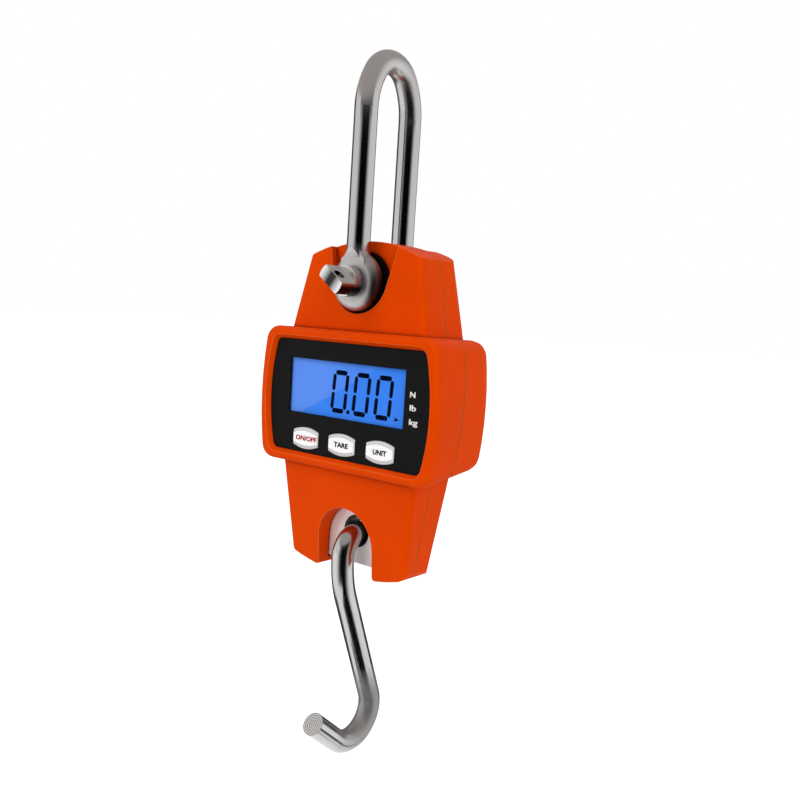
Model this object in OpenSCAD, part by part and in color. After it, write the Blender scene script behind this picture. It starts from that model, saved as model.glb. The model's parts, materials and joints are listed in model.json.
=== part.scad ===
// Hand-held crane scale: a shackle, a load cell in a moulded case with a display, and a hook.
// Millimetres. The origin is the inside of the shackle's bow, where the scale hangs.
// +Z is up, the display faces -Y, and the plane Y = 0 halves the shackle, the load cell and the hook.

/* [Shackle and pin] */
// Diameter of the steel rod of the shackle and the hook
rod_d = 8; // [7:0.1:9]
// Clear width between the legs of the shackle
shackle_gap = 15.3; // [14:0.1:17]
// Drop from the inside of the bow to the axis of the pin
shackle_reach = 70.7; // [60:0.1:90]
// Diameter of the flattened eyes
eye_d = 19.8; // [18.5:0.1:20.4]
// Thickness of the flattened eyes
eye_t = 6.6; // [5.6:0.1:7.6]
// Diameter of the shank of the pin
pin_d = 8; // [7:0.1:9]
// Diameter of the pin's collar and width of its ear
head_d = 10.5; // [9.5:0.1:12]
// Length of the round collar
collar_t = 3.7; // [2.5:0.1:4.5]
// Distance from the eye's face to the hole in the ear
ear_reach = 7.5; // [7:0.1:10]
// Distance from the hole in the ear to the end of the ear
ear_tip = 2.6; // [2.4:0.1:4]
// Thickness of the ear
ear_t = 4.6; // [3.4:0.1:5.4]
// Diameter of the hole in the ear
ear_hole_d = 3.8; // [2.5:0.1:4.5]
// Angle that the ear is turned by, about the pin
ear_turn = 38; // [0:1:90]
// Radius of the sides of the bow, at the middle of the rod
bow_side_r = 24; // [15:0.5:40]
// Turn of each side of the bow, before the crown takes over
bow_turn = 29; // [10:1:35]

/* [Hook] */
// Bend radius of the hook's seat, at the middle of the rod
seat_r = 11; // [9.5:0.1:13]
// Height from the rod in the eye down to the lowest point of the seat, at the middle of the rod
hook_drop = 77.4; // [70:0.1:90]
// Length of the straight tip
tip_len = 15.3; // [8:0.1:20]
// Slope of the tip above the horizontal
tip_slope = 39.7; // [25:0.1:55]
// Lean of the spine from the vertical
spine_lean = 21.7; // [15:0.1:26]
// Radius of the two bends that wrap round the load cell
wrap_r = 7.2; // [6.5:0.1:8.5]

/* [Load cell] */
// Thickness of the load cell
cell_t = 8; // [7:0.1:9]
// Width of the load cell
cell_w = 32; // [29:0.1:33]
// Distance between the pin and the hole of the hook
pin_to_hook = 87.4; // [82:0.1:95]
// Diameter of the hole of the hook
hook_hole_d = 10; // [9.6:0.1:11]
// Metal above the axis of the pin
cell_top = 9.9; // [9:0.1:10.4]
// Metal below the axis of the hook's hole
cell_bottom = 11.5; // [10:0.1:12]
// Width of the saw cuts that make the S
cut_w = 2; // [1.2:0.1:3]

/* [Case] */
// Wall thickness of the case
wall = 2; // [1.6:0.1:2.4]
// Width of the upper body at the top of the display box
upper_base_w = 61.2; // [58:0.1:64]
// Width of the upper body at its top corners
upper_top_w = 49.8; // [48:0.1:54]
// Depth of the upper body in front of the middle plane, at its foot
upper_base_front = 11.3; // [10.8:0.1:12]
// Depth of the upper body in front of the middle plane, at its top
upper_top_front = 9.1; // [8.7:0.1:10.5]
// Depth of the upper body behind the middle plane, at its foot
upper_base_rear = 13; // [12:0.1:14]
// Depth of the upper body behind the middle plane, at its top
upper_top_rear = 12.3; // [11.5:0.1:13.5]
// Height of the top of the arched roof above the pin
roof_rise = 14.1; // [13.8:0.1:16]
// Width of the lower body at the bottom of the display box
lower_base_w = 60.9; // [58:0.1:64]
// Width of the lower body at its bottom corners
lower_end_w = 53.5; // [51:0.1:57]
// Depth of the lower body in front of the middle plane, at its top
lower_base_front = 12.6; // [11.5:0.1:13]
// Depth of the lower body in front of the middle plane, at its end
lower_end_front = 9.5; // [9:0.1:10.5]
// Depth of the lower body behind the middle plane, at its top
lower_base_rear = 10.4; // [10:0.1:12]
// Depth of the lower body behind the middle plane, at its end
lower_end_rear = 6.6; // [6.4:0.1:8]
// Depth of the arched floor below the hook's hole, at the middle
floor_drop = 15.2; // [14.5:0.1:17]
// Radius of the arched roof
arch_r = 60; // [50:1:80]
// Radius of the arched floor
floor_r = 85; // [60:1:120]
// Radius of the long upright edges at the front
front_edge_r = 2; // [1.5:0.1:3]
// Radius of the long upright edges at the rear
rear_edge_r = 5; // [3:0.1:5]
// Radius of the bottom corners
corner_r = 4; // [1:0.1:6]
// Radius of the lower corners of the arch for the hook
lip_r = 1.2; // [0.5:0.1:1.6]
// Lean of the seam between the two halves, in each millimetre of height
seam_lean = 0.055; // [0:0.005:0.06]
// Radius of the round end of the shackle's channel
channel_r = 12; // [11.5:0.1:13]
// Flare of the channel's sides
channel_flare = 14; // [10:0.1:18]
// Half width of the arch for the hook
gate_r = 12.6; // [12:0.1:14]
// Height of the arch's spring line below the pin
gate_drop = 90.9; // [88:0.1:93]

/* [Display] */
// Drop from the pin to the middle of the display box
box_drop = 41; // [38:0.1:44]
// Width of the black panel at its middle
panel_w = 72.6; // [70:0.1:78]
// Height of the black panel
panel_h = 39.8; // [39.4:0.1:46]
// Bulge of each side of the panel
panel_bulge = 2.8; // [1:0.1:3.2]
// Width of the case's rim beside the panel
rim_w = 4.6; // [4:0.1:5.5]
// Width of the case's rim above and below the panel
rim_h = 4.4; // [3.6:0.1:6]
// Height of the rim above the panel
rim_t = 1.8; // [1:0.1:2.4]
// Bulge of each side of the display box
box_bulge = 2.4; // [1:0.1:3]
// Radius of the corners of the display box
box_corner_r = 5.5; // [3:0.1:7]
// Radius of the front edge of the display box
front_r = 2.2; // [1.5:0.1:3]
// Radius of the rear edge of the display box
rear_r = 7; // [5:0.1:9]
// Rise of the underside of the display box, in each millimetre towards the rear
box_lift = 0.12; // [0:0.01:0.14]
// Drop of the top of the display box, in each millimetre towards the rear
box_sink = 0.02; // [0:0.01:0.04]
// Narrowing of each side of the display box, in each millimetre towards the rear
box_taper = 0.045; // [0:0.005:0.06]
// Width of the visible display
lcd_w = 52.8; // [46:0.1:54]
// Height of the visible display
lcd_h = 19.4; // [16:0.1:19.8]
// Sideways shift of the display
lcd_shift = -0.5; // [-1:0.1:1]
// Height of the bare strip of the panel above the display
strip_h = 6.5; // [6.2:0.1:7]

/* [Keys] */
// Width of a key
key_w = 11.7; // [9:0.1:13]
// Height of a key
key_h = 7.6; // [6:0.1:8.2]
// Distance between neighbouring keys
key_pitch = 17.25; // [15:0.05:18]
// Sideways shift of the row of keys
key_shift = -0.15; // [-1:0.05:1]
// Space between the keys and the lower edge of the panel
key_margin = 1.3; // [0.8:0.1:1.5]
// Height of a key above the panel
key_proud = 0.7; // [0.6:0.1:1.5]
// Travel of a key
key_travel = 0.6; // [0.3:0.05:0.7]

/* [Insides] */
// Space between the load cell and the circuit board
board_gap = 2.9; // [2.6:0.1:4]
// Thickness of the circuit board
board_t = 1.4; // [1:0.1:1.6]
// Thickness of the backlight
backlight_t = 2.5; // [2:0.1:3]
// Thickness of the display cell
glass_t = 2.2; // [1.8:0.1:2.6]
// Thickness of the panel
panel_t = 1; // [0.8:0.1:1.4]
// Thickness of the case behind the panel
seat_t = 1.6; // [1.2:0.1:2]
// Diameter of a battery
battery_d = 10.5; // [10:0.1:10.6]
// Length of a battery
battery_len = 44.5; // [42:0.1:45]
// Thickness of the battery cover
cover_t = 1.7; // [1.4:0.1:2.2]
// Space for the spring behind a battery
spring_len = 5; // [4:0.1:6]
// Radius of the screw posts of the case
post_r = 2.9; // [2.5:0.1:3.2]
// Radius of the case screws
screw_r = 1.25; // [1:0.05:1.5]

/* [Hidden] */
$fn = 64;

// Clearances: a running fit, a sliding gap, a seat between fixed pieces, and a gap round what swings
fit = 0.05;
slip = 0.2;
seat = 0.05;
swing = 0.3;
// Thin slice of a loft, a layer of the display box, and a length that reaches past every face
slice = 0.01;
layer = 0.2;
far = 60;
hull_fn = 32;
// How far a straight rod runs into the bend at its end
lap = 0.3;

orange = [0.87, 0.27, 0.01];
steel = [0.75, 0.75, 0.76];
alloy = [0.66, 0.67, 0.68];
black = [0.06, 0.06, 0.06];

// Shackle and pin
rod_r = rod_d / 2;
leg_y = shackle_gap / 2 + rod_r;
bow_link = 1;
crown_r = (leg_y - bow_side_r * (1 - cos(bow_turn)) - bow_link * sin(bow_turn)) / cos(bow_turn);
bow_z = rod_r - (bow_side_r - crown_r) * sin(bow_turn) - bow_link * cos(bow_turn) - crown_r;
pin_z = -shackle_reach;
eye_in = shackle_gap / 2;
eye_out = eye_in + eye_t;
eye_edge = 3;
neck_r = 3.5;
neck_top = eye_d / 2 + 0.8;
neck_turn = 60;
neck_low = 3;
slope_high = eye_d / 2 + 1.2;
slope_low = slope_high - 3.1;
pin_tip = 0.8;
undercut = 0.5;

// Load cell and hook
hole_z = pin_z - pin_to_hook;
hole_chamfer = 0.8;
cell_half = cell_t / 2;
cell_corner = 5;
bead_r = 5;
bead_x = 7;
cell_mid_z = pin_z - box_drop - 4;
cut_rise = 20;
cut_left = 8;
grip_z = hole_z - (hook_hole_d - rod_d) / 2 + fit;
grip_half = cell_half - hole_chamfer;
front_leg_y = grip_half + wrap_r;
sway_r = 40;
rear_leg_len = 3;
seat_z = grip_z - hook_drop + seat_r;

// Case
seam_y = -1.3;
seam_gap = 0.25;
seam_step = 0.05;
shelf_y = cell_half + 0.1;
channel_y = shelf_y + wall;
channel_rise = 1.2;
spacer_r = channel_r - channel_rise - 0.4;
hub_r = 6.2;
roof_z = pin_z + roof_rise;
corner_z = pin_z + 9.3;
floor_z = hole_z - floor_drop;
end_z = floor_z + 5.1;
upper_base = [upper_base_w, upper_base_front, upper_base_rear];
upper_top = [upper_top_w, upper_top_front, upper_top_rear];
lower_base = [lower_base_w, lower_base_front, lower_base_rear];
lower_end = [lower_end_w, lower_end_front, lower_end_rear];
edge_r = [front_edge_r, rear_edge_r];
post_x = cell_w / 2 + swing + post_r;
upper_post_z = pin_z + 2.5;
lower_post_z = hole_z - 1;
post_seat_y = 4.2;
screw_tip_y = -6.2;
screw_head_r = 2.2;
screw_head_t = 1.7;

// Display box: the stack from the load cell forwards sets its depth
board_y = -(cell_half + board_gap + board_t);
backlight_y = board_y - backlight_t - seat;
glass_y = backlight_y - glass_t - seat;
panel_back = glass_y - seat;
panel_y = panel_back - panel_t;
seat_back = panel_back + seat_t;
box_front = rim_t - panel_y;
box_w = panel_w + 2 * rim_w;
box_h = panel_h + 2 * rim_h;
box_z = pin_z - box_drop;
box_top = box_z + box_h / 2;
box_bottom = box_z - box_h / 2;
box_side_r = (pow(box_h / 2, 2) + pow(box_bulge, 2)) / (2 * box_bulge);
panel_side_r = (pow(panel_h / 2, 2) + pow(panel_bulge, 2)) / (2 * panel_bulge);
panel_corner_r = 2.5;
panel_gap = 0.15;
bevel = 1.2;
lcd_z = box_z + panel_h / 2 - strip_h - lcd_h / 2;
key_z = box_z - panel_h / 2 + key_margin + key_h / 2;
key_room = lcd_z - lcd_h / 2 - key_z - key_h / 2;
contact_h = 0.56 * key_room;
holder_lip = 0.25 * key_room;
glass_w = lcd_w + 2.4;
glass_low = lcd_z - lcd_h / 2 - contact_h;
glass_high = lcd_z + lcd_h / 2 + 1;
box_post_x = box_w / 2 - 5.5;
board_w = 2 * (box_post_x - post_r - swing);
board_low = box_z - panel_h / 2 + 0.2;
board_high = box_z + panel_h / 2 + 0.1;
board_hole_x = board_w / 2 - 2.6;
board_hole_z = [board_low + 2.5, board_high - 2.3];
board_post_r = 2.1;
board_screw_r = 0.82;
board_head_r = 1.8;
board_head_t = 1.2;
chip = [7, 1.2, 7];
chip_edge = 8;
resistor = [2, 0.8, 1.2];
resistor_step = 9;
resistor_z = board_low + 7;
capacitor_r = 1.6;
capacitor_t = 1.5;
capacitor_x = [-6, 4];
capacitor_z = board_high - 8;
gauge_pad = [5, 0.3, 4];
gauge_rise = 3.5;

// Keys
key_x = [for (i = [-1:1]) key_shift + i * key_pitch];
key_arc = 1.2;
key_arc_r = (pow(key_w / 2, 2) + pow(key_arc, 2)) / (2 * key_arc);
key_y = panel_y - key_proud;
key_back = seat_back + slip / 2 + 0.5;
key_slope = 1.25;
flange = 0.7;
switch_w = 6;
switch_y = board_y - 1.4;
plunger_r = 1.6;

// Battery bay: the stack from the load cell backwards sets the depth of the box
bay_gap = 0.5;
bay_floor = cell_half + bay_gap + 1.1;
battery_y = bay_floor + seat + battery_d / 2;
cover_y = battery_y + battery_d / 2 + 0.15;
box_rear = cover_y + cover_t;
plate_t = 0.5;
bay_w = battery_len + spring_len + 2 * plate_t + 4 * seat;
bay_h = 3 * battery_d + 6 * seat;
bay_wall = 1.4;
bay_z = box_z + (box_lift - box_sink) * (box_rear + box_front) / 2;
battery_end = bay_w / 2 - plate_t - 2 * seat;
battery_step = battery_d + 2 * seat;
cover_w = bay_w + 5.6;
cover_h = bay_h + 5;
cover_corner_r = 3;
ledge_t = 2;
ledge_w = 1.6;
tongue_w = 6;
tongue_x = 1.4;
tongue_t = 0.9;
tongue_z = 9;

// Fasteners of the load cell
cell_screw_x = 10.5;
cell_screw_z = pin_z - 15;
cell_screw_r = 1.45;
cell_head_r = 2.7;
cell_head_t = 1.8;
cell_head_y = shelf_y + 3.4;

// Leads: the routes' points are offsets from the middle of the box
lead_d = 1;
socket_x = 23;
socket_y = -(cell_half + 1.2);
socket_w = 5;
socket_h = 6;
socket_z = -5;
gauge_route = [[11, -4.9, -4], [13, -4.9, -4], [15, -4.9, -4], [17, -5, -3.6], [19, -5.3, -2.6],
    [21, -5.6, -2], [23, -5.6, -2]];
supply_route = [[0, 9, 5], [1.5, 9, 5], [2.8, 8.2, 5], [3.4, 6.8, 5], [3.4, 4, 5], [3.4, 1, 5],
    [3.4, -2, 5], [3.4, -5, 5]];

function mix(a, b, t) = a + (b - a) * t;

// Where the seam between the halves lies at a height, and where the body of a half ends at it
function seam_at(z) = seam_y + seam_lean * (z - box_z);
function seam_end(half, z) = half == 0 ? seam_at(z) + seam_step : -seam_at(z) - seam_gap - seam_step;

// Roundings that touch the arched floor: that of the bottom corners, and that of the arch's corners
floor_c = [0, floor_z + floor_r];
function from_floor(c) = (c - floor_c) / norm(c - floor_c);
side_dir = [lower_base_w - lower_end_w, 2 * (box_bottom - end_z)]
    / norm([lower_base_w - lower_end_w, 2 * (box_bottom - end_z)]);
side_out = [side_dir[1], -side_dir[0]];
corner_start = [lower_end_w / 2, end_z] - corner_r * side_out - floor_c;
corner_run = -corner_start * side_dir - sqrt(pow(corner_start * side_dir, 2) - corner_start * corner_start
    + pow(floor_r - corner_r, 2));
corner_c = floor_c + corner_start + corner_run * side_dir;
lip_c = [gate_r + lip_r, floor_c[1] - sqrt(pow(floor_r - lip_r, 2) - pow(gate_r + lip_r, 2))];

// Draws an outline of X and Z, and runs it from y0 back to y1
module along_y(y0, y1) {
    translate([0, y1, 0]) rotate([90, 0, 0]) linear_extrude(y1 - y0) children();
}

// Draws an outline of Y and Z, and runs it from x0 to x1
module along_x(x0, x1) {
    translate([x0, 0, 0]) rotate([90, 0, 90]) linear_extrude(x1 - x0) children();
}

module rod_y(r, y0, y1, x, z) {
    translate([x, y1, z]) rotate([90, 0, 0]) cylinder(r = r, h = y1 - y0);
}

module block(low, high) {
    translate(low) cube(high - low);
}

// A round rod between two points of the plane X = 0, let into the bends at its ends
module rod_yz(a, b, lap_a = lap, lap_b = lap) {
    reach = b - a;
    translate([0, a[0], a[1]]) rotate([atan2(-reach[0], reach[1]), 0, 0]) translate([0, 0, -lap_a])
        cylinder(r = rod_r - slice, h = norm(reach) + lap_a + lap_b);
}

// A bend of the rod in the plane X = 0, round a centre, from one angle on
module bend_yz(centre, r, from, turn) {
    translate([0, centre[0], centre[1]]) rotate([90, 0, 90]) rotate([0, 0, from])
        rotate_extrude(angle = turn) translate([r, 0]) circle(rod_r);
}

// A thin tube along a list of points, as one swept solid
function ring(at, dir, up, r, sides) =
    let (a = cross(dir, up) / norm(cross(dir, up)), b = cross(a, dir) / norm(dir))
    [for (i = [0:sides - 1]) at + r * (a * cos(360 * i / sides) + b * sin(360 * i / sides))];

module tube(path, d, up, sides = 8) {
    last = len(path) - 1;
    rings = [for (i = [0:last])
        ring(path[i], path[min(i + 1, last)] - path[max(i - 1, 0)], up, d / 2, sides)];
    points = [for (r = rings, p = r) p];
    walls = [for (i = [0:last - 1], j = [0:sides - 1])
        [i * sides + j, i * sides + (j + 1) % sides,
            (i + 1) * sides + (j + 1) % sides, (i + 1) * sides + j]];
    ends = [[for (j = [sides - 1:-1:0]) j], [for (j = [0:sides - 1]) last * sides + j]];
    polyhedron(points, concat(walls, ends));
}

// Shackle: a bow of round rod, two legs, and a flattened eye on each leg
module eye_blank() {
    flat = eye_t - 2 * eye_edge;
    rotate([90, 0, 0]) rotate_extrude() {
        translate([0, -eye_t / 2]) square([eye_d / 2 - eye_edge, eye_t]);
        translate([0, -flat / 2]) square([eye_d / 2, flat]);
        for (side = [-1, 1]) translate([eye_d / 2 - eye_edge, side * flat / 2]) circle(eye_edge);
    }
}

// The neck flares from just inside the rod out to the eye
module eye_neck() {
    start = rod_r - fit;
    rotate_extrude() difference() {
        translate([0, neck_low]) square([start + neck_r * (1 - cos(neck_turn)), neck_top - neck_low]);
        translate([start + neck_r, neck_top]) circle(neck_r);
    }
}

// Side view of a leg, whose outer side slopes back to the face of the eye
module leg_outline() {
    polygon([[0, pin_z], [eye_out - slice, pin_z], [eye_out - slice, pin_z + slope_low],
        [leg_y + rod_r, pin_z + slope_high], [leg_y + rod_r, far], [0, far]]);
}

module shackle_leg() {
    low = pin_z + neck_low;
    intersection() {
        translate([0, leg_y, low]) cylinder(r = rod_r - slice, h = bow_z + lap - low);
        along_x(-far, far) leg_outline();
    }
    translate([0, eye_in + eye_t / 2, pin_z]) eye_blank();
    intersection() {
        translate([0, leg_y, pin_z]) eye_neck();
        block([-far, eye_in, pin_z], [far, eye_out, 0]);
    }
}

// One side of the bow, with the short straight piece between it and the crown
module bow_side() {
    bend_end = [leg_y - bow_side_r * (1 - cos(bow_turn)), bow_z + bow_side_r * sin(bow_turn)];
    bend_yz([leg_y - bow_side_r, bow_z], bow_side_r, 0, bow_turn);
    rod_yz(bend_end, bend_end + bow_link * [-sin(bow_turn), cos(bow_turn)]);
}

module shackle() {
    color(steel) difference() {
        union() {
            bend_yz([0, rod_r - crown_r], crown_r, bow_turn, 180 - 2 * bow_turn);
            for (side = [0, 1]) mirror([0, side, 0]) {
                bow_side();
                shackle_leg();
            }
        }
        rod_y(pin_d / 2 + fit, -far, far, 0, pin_z);
    }
}

// The ear is the pin's round end with two flats, from the collar to its end
module ear_outline() {
    translate([-head_d / 2, -ear_tip]) square([head_d, ear_tip + ear_reach - collar_t]);
}

module shackle_pin() {
    face = -(eye_out + fit);
    hole_y = -(eye_out + ear_reach);
    color(steel) difference() {
        union() {
            rod_y(pin_d / 2, face, eye_out + pin_tip, 0, pin_z);
            rod_y(head_d / 2 - undercut, face - collar_t, face, 0, pin_z);
            rod_y(head_d / 2, face - collar_t, face - undercut, 0, pin_z);
            translate([0, hole_y, pin_z]) rotate([0, ear_turn, 0]) intersection() {
                translate([0, 0, -ear_t / 2]) linear_extrude(ear_t) ear_outline();
                rod_y(head_d / 2 - slice, -head_d, ear_reach, 0, 0);
            }
        }
        translate([0, hole_y, pin_z]) rotate([0, ear_turn, 0])
            translate([0, 0, -ear_t]) cylinder(r = ear_hole_d / 2, h = 2 * ear_t);
    }
}

// Hook: a wrap through the load cell's hole, a leaning spine, a round seat and a straight tip
module hook() {
    spine = [sin(spine_lean), -cos(spine_lean)];
    wrap_z = grip_z - wrap_r;
    sway_z = wrap_z - 1;
    rear_y = grip_half + wrap_r;
    sway_end = [-front_leg_y + sway_r * (1 - cos(spine_lean)), sway_z - sway_r * sin(spine_lean)];
    spine_len = (sway_end[1] - seat_z - seat_r * sin(spine_lean)) / cos(spine_lean);
    seat_in = sway_end + spine * spine_len;
    seat_c = seat_in - seat_r * [cos(spine_lean), sin(spine_lean)];
    seat_out = seat_c - seat_r * [sin(tip_slope), cos(tip_slope)];
    tip = seat_out + tip_len * [-cos(tip_slope), sin(tip_slope)];
    color(steel) union() {
        rod_yz([grip_half, grip_z], [-grip_half, grip_z]);
        bend_yz([grip_half, wrap_z], wrap_r, 0, 90);
        rod_yz([rear_y, wrap_z - rear_leg_len], [rear_y, wrap_z], 0, lap);
        bend_yz([-grip_half, wrap_z], wrap_r, 90, 90);
        rod_yz([-front_leg_y, wrap_z], [-front_leg_y, sway_z]);
        bend_yz([sway_r - front_leg_y, sway_z], sway_r, 180, spine_lean);
        rod_yz(sway_end, seat_in);
        bend_yz(seat_c, seat_r, -90 - tip_slope, 90 + tip_slope + spine_lean);
        rod_yz(seat_out, tip, lap, 0);
    }
}

// Load cell: a flat S-type block, sawn from both sides and drilled in the middle
module cell_outline() {
    low = hole_z - cell_bottom;
    high = pin_z + cell_top;
    translate([-cell_w / 2, low + cell_corner]) square([cell_w, high - low - 2 * cell_corner]);
    translate([cell_corner - cell_w / 2, low]) square([cell_w - 2 * cell_corner, high - low]);
    for (side = [-1, 1], z = [low + cell_corner, high - cell_corner])
        translate([side * (cell_w / 2 - cell_corner), z]) circle(cell_corner);
}

module cell_cuts() {
    for (side = [-1, 1]) {
        translate([side * bead_x, cell_mid_z]) circle(bead_r);
        translate([side * cell_w / 2, cell_mid_z - side * cut_rise])
            square([2 * (cell_w - cut_left), cut_w], true);
        translate([side * cell_screw_x, cell_screw_z]) circle(cell_screw_r + fit);
    }
    translate([0, cell_mid_z]) square([2 * bead_x, cut_w], true);
}

module load_cell() {
    color(alloy) difference() {
        along_y(-cell_half, cell_half) difference() {
            cell_outline();
            cell_cuts();
        }
        rod_y(pin_d / 2 + fit, -far, far, 0, pin_z);
        rod_y(hook_hole_d / 2, -far, far, 0, hole_z);
        for (side = [-1, 1]) translate([0, side * cell_half, hole_z]) rotate([side * 90, 0, 0])
            cylinder(r1 = hook_hole_d / 2 + hole_chamfer, r2 = hook_hole_d / 2, h = hole_chamfer);
    }
}

module spacer(side) {
    color(black) mirror([0, side > 0 ? 0 : 1, 0]) difference() {
        union() {
            rod_y(spacer_r, channel_y + seat, eye_in - swing, 0, pin_z);
            rod_y(hub_r, cell_half + seat, eye_in - swing, 0, pin_z);
        }
        rod_y(pin_d / 2 + fit, 0, far, 0, pin_z);
    }
}

module front_spacer() { spacer(-1); }
module rear_spacer() { spacer(1); }

module strain_gauges() {
    color("peru") for (side = [-1, 1], x = [-1, 1])
        translate([x * bead_x, side * (cell_half + gauge_pad[1] / 2), cell_mid_z + bead_r + gauge_rise])
            cube(gauge_pad, true);
}

module gauge_lead() {
    color("silver") tube([for (p = gauge_route) p + [0, 0, box_z]], lead_d, [0, 0, 1]);
}

// Case: each half has three rounded bodies in one, drawn for the front and with a hollow behind
module half_slab(w, depth, end, r) {
    for (side = [-1, 1]) translate([side * (w / 2 - r), r - depth]) circle(r, $fn = hull_fn);
    translate([-w / 2, end - layer]) square([w, layer]);
}

// Half of a body that narrows from one height to another, and runs on past both
module loft(z0, a0, z1, a1, t0, t1, half) {
    hull() for (t = [t0, t1]) translate([0, 0, mix(z0, z1, t)]) linear_extrude(slice)
        half_slab(mix(a0[0], a1[0], t), mix(a0[half + 1], a1[half + 1], t), seam_end(half, mix(z0, z1, t)),
            edge_r[half]);
}

// The hollow of such a body, with flat sides
module flat_loft(z0, a0, z1, a1, t0, t1) {
    low = [for (i = [0:2]) mix(a0[i], a1[i], t0)];
    high = [for (i = [0:2]) mix(a0[i], a1[i], t1)];
    z = [mix(z0, z1, t0), mix(z0, z1, t1)];
    intersection() {
        along_y(-far, far) polygon([[wall - low[0] / 2, z[0]], [low[0] / 2 - wall, z[0]],
            [high[0] / 2 - wall, z[1]], [wall - high[0] / 2, z[1]]]);
        along_x(-far, far) polygon([[wall - low[1], z[0]], [low[2] - wall, z[0]],
            [high[2] - wall, z[1]], [wall - high[1], z[1]]]);
    }
}

module upper_half(half) {
    intersection() {
        loft(box_top, upper_base, corner_z, upper_top, -0.3, 1.25, half);
        along_y(-far, far) translate([0, roof_z - arch_r]) circle(arch_r, $fn = 180);
    }
}

module upper_hollow() {
    intersection() {
        flat_loft(box_top, upper_base, corner_z, upper_top, -0.2, 1.3);
        along_y(-far, far) translate([0, roof_z - arch_r]) circle(arch_r - wall, $fn = 180);
    }
}

module lower_half(half) {
    difference() {
        intersection() {
            loft(box_bottom, lower_base, end_z, lower_end, -0.25, 1.15, half);
            along_y(-far, far) translate(floor_c) circle(floor_r, $fn = 180);
        }
        for (side = [0, 1]) mirror([side, 0, 0]) along_y(-far, far)
            corner_wedge(corner_c, side_out, from_floor(corner_c), corner_r);
    }
}

// What a rounding takes off between two directions from its middle
module corner_wedge(c, a, b, r) {
    difference() {
        polygon([c, c + 3 * r * a, c + 3 * r * (a + b), c + 3 * r * b]);
        translate(c) circle(r);
    }
}

module lower_hollow() {
    intersection() {
        flat_loft(box_bottom, lower_base, end_z, lower_end, -0.2, 1.3);
        along_y(-far, far) translate(floor_c) circle(floor_r - wall, $fn = 180);
    }
}

// A flat outline with bulged sides and rounded corners
module bulged(w, h, side_r, r) {
    offset(r, $fn = hull_fn) offset(delta = -r) intersection() {
        square([w, h], true);
        translate([side_r - w / 2, 0]) circle(side_r, $fn = 120);
        translate([w / 2 - side_r, 0]) circle(side_r, $fn = 120);
    }
}

// The outline of the display box at a distance behind its front
module box_outline(back, inset) {
    translate([0, (box_lift - box_sink) * back / 2]) offset(delta = -inset)
        bulged(box_w - 2 * box_taper * back, box_h - (box_lift + box_sink) * back, box_side_r,
            box_corner_r);
}

module box_half(half) {
    depth = half == 0 ? box_front : box_rear;
    r = half == 0 ? front_r : rear_r;
    step = half == 0 ? 22.5 : 18;
    face = half == 0 ? seam_y : -seam_y - seam_gap;
    lean = half == 0 ? -atan(seam_lean) : atan(seam_lean);
    translate([0, 0, box_z]) hull() {
        for (t = [0:step:90]) {
            y = r * (1 - cos(t)) - depth;
            along_y(y, y + layer) box_outline(box_front + (half == 0 ? y : -y), r * (1 - sin(t)));
        }
        translate([0, face, 0]) rotate([lean, 0, 0]) along_y(-layer, 0) box_outline(box_front + seam_y, 0);
    }
}

module rear_box() {
    mirror([0, 1, 0]) box_half(1);
}

// The hollow of the box, with flat sides and a bevel behind the round rear edge
module box_hollow() {
    x = box_w / 2 - wall;
    z = box_h / 2 - wall;
    cut = rear_r - wall;
    rear = box_rear - wall;
    y = [seat_back - 1, rear - cut, rear + 1];
    side = [for (at = y) x - box_taper * (at + box_front)];
    low = [for (at = y) box_lift * (at + box_front) - z];
    high = [for (at = y) z - box_sink * (at + box_front)];
    end = x - box_bulge - box_taper * (box_rear + box_front);
    translate([0, 0, box_z]) intersection() {
        along_y(seat_back, rear) polygon([[-x, 0], [-end, -z], [end, -z], [x, 0], [end, z], [-end, z]]);
        translate([0, 0, -far]) linear_extrude(2 * far) polygon([[-side[0], y[0]], [side[0], y[0]],
            [side[1], y[1]], [side[2] - cut, y[2]], [cut - side[2], y[2]], [-side[1], y[1]]]);
        along_x(-far, far) polygon([[y[0], low[0]], [y[1], low[1]], [y[2], low[2] + cut],
            [y[2], high[2] - cut], [y[1], high[1]], [y[0], high[0]]]);
    }
}

module case_hollow() {
    upper_hollow();
    box_hollow();
    lower_hollow();
}

// The channel that the shackle swings in, open at the roof
module channel_outline(extra) {
    r = channel_r + extra;
    top = roof_rise + wall;
    z = channel_rise - r * sin(channel_flare);
    translate([0, pin_z]) {
        translate([0, channel_rise]) circle(r);
        polygon([[-r * cos(channel_flare), z], [r * cos(channel_flare), z],
            [r * cos(channel_flare) + (top - z) * tan(channel_flare), top],
            [-r * cos(channel_flare) - (top - z) * tan(channel_flare), top]]);
    }
}

// The arch that the hook swings in, open at the bottom
module gate_outline(extra) {
    translate([0, pin_z - gate_drop]) circle(gate_r + extra);
    translate([-gate_r - extra, pin_z - gate_drop - far]) square([2 * (gate_r + extra), far]);
}

// Walls and posts that stand in the hollow on one side of the load cell, drawn for the rear
module inner_walls() {
    along_y(shelf_y, far) {
        channel_outline(wall);
        gate_outline(wall);
    }
    for (p = post_places()) rod_y(post_r, -far, far, p[0], p[1]);
}

// Openings on one side, drawn for the rear
module outer_cuts() {
    along_y(channel_y, far) channel_outline(0);
    rod_y(hub_r + slip, 0, far, 0, pin_z);
    along_y(-far, far) {
        gate_outline(0);
        for (side = [0, 1]) mirror([side, 0]) corner_wedge(lip_c, [-1, 0], from_floor(lip_c), lip_r);
    }
}

function post_places() = [for (side = [-1, 1], p = [[post_x, upper_post_z], [post_x, lower_post_z],
    [box_post_x, box_z]]) [side * p[0], p[1]]];

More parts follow.
